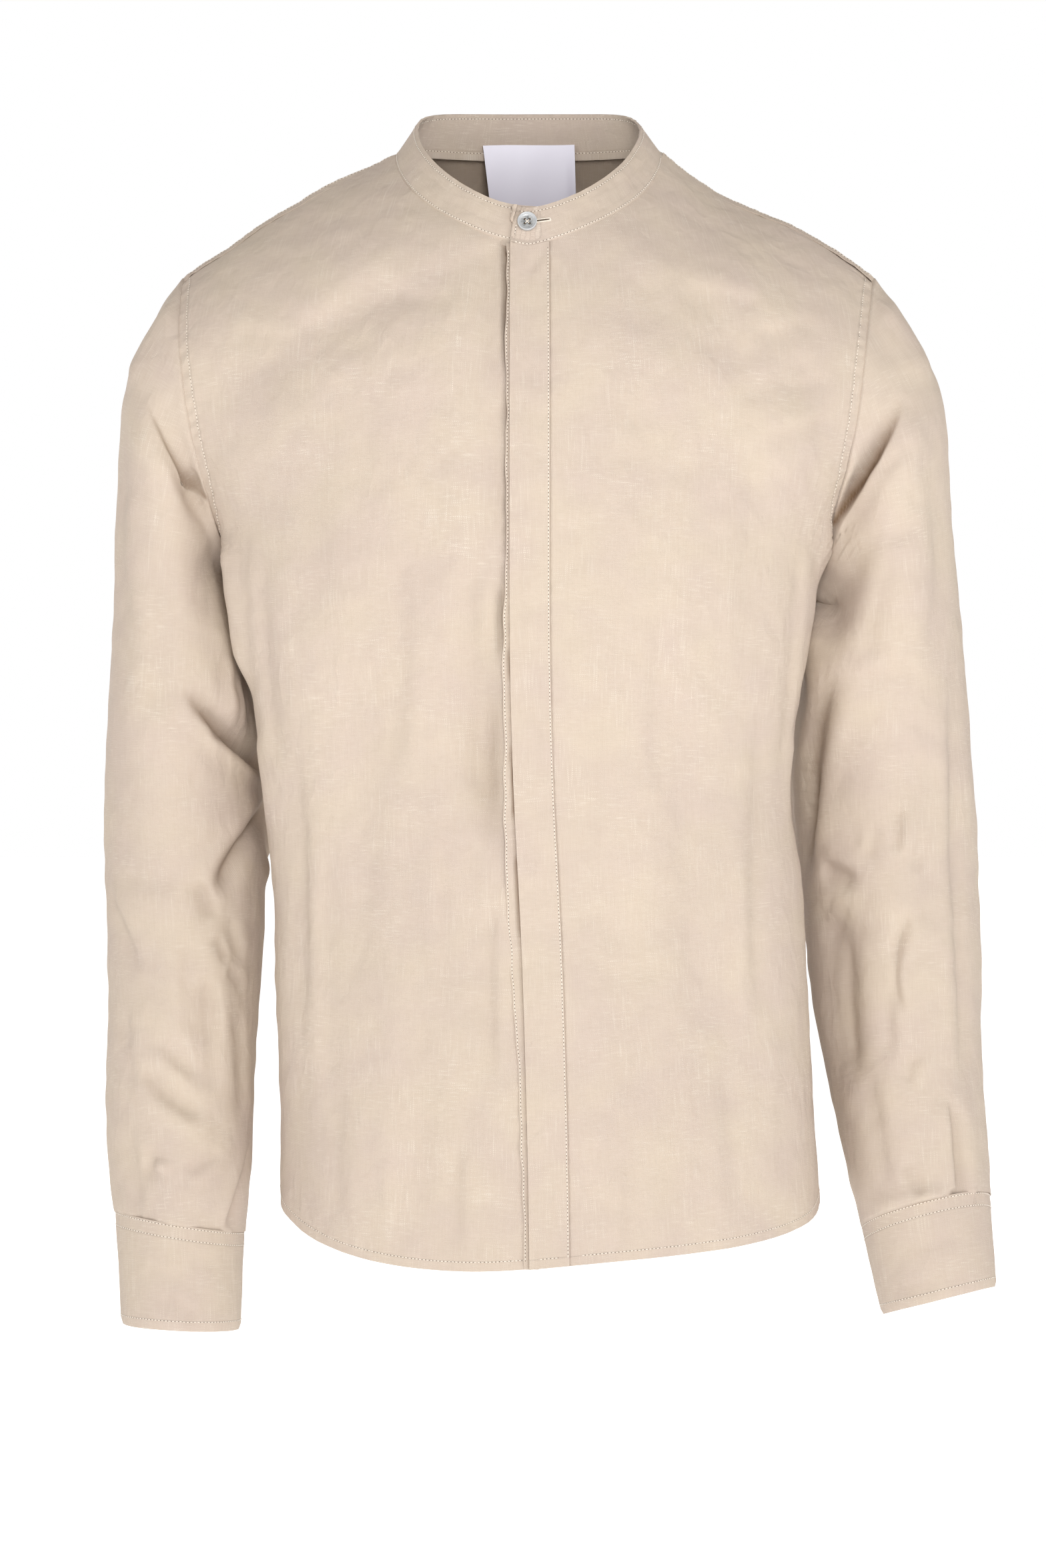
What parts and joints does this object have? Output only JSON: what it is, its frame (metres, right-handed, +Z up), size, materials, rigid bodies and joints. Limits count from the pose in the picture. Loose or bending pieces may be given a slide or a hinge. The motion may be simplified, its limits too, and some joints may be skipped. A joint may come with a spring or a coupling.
{
  "type": "mandarin collar shirt",
  "caption": "Long-sleeved linen shirt with a stand-up band collar, a concealed front placket and buttoned cuffs, hollow as when worn.",
  "frame": {"origin": "midway between the two points where the shoulder seams meet the neck, where a wearer's neck and shoulders carry the shirt", "axes": "+Z up along the body, the front faces -Y, the wearer's left arm is at +X"},
  "size_m": [0.5907, 0.2382, 0.8089],
  "materials": {
    "linen": "matt plain-weave linen, sand",
    "satin": "white woven satin",
    "button": "pearly grey"
  },
  "bodies": {
    "root": {"front_right": "linen", "front_left": "linen", "placket": "linen", "back": "linen", "sleeve_right": "linen", "sleeve_left": "linen", "cuff_right": "linen", "cuff_left": "linen", "collar_band": "linen", "label": "satin", "collar_button": "button", "cuff_button_right": "button", "cuff_button_left": "button"}
  },
  "joints": []
}
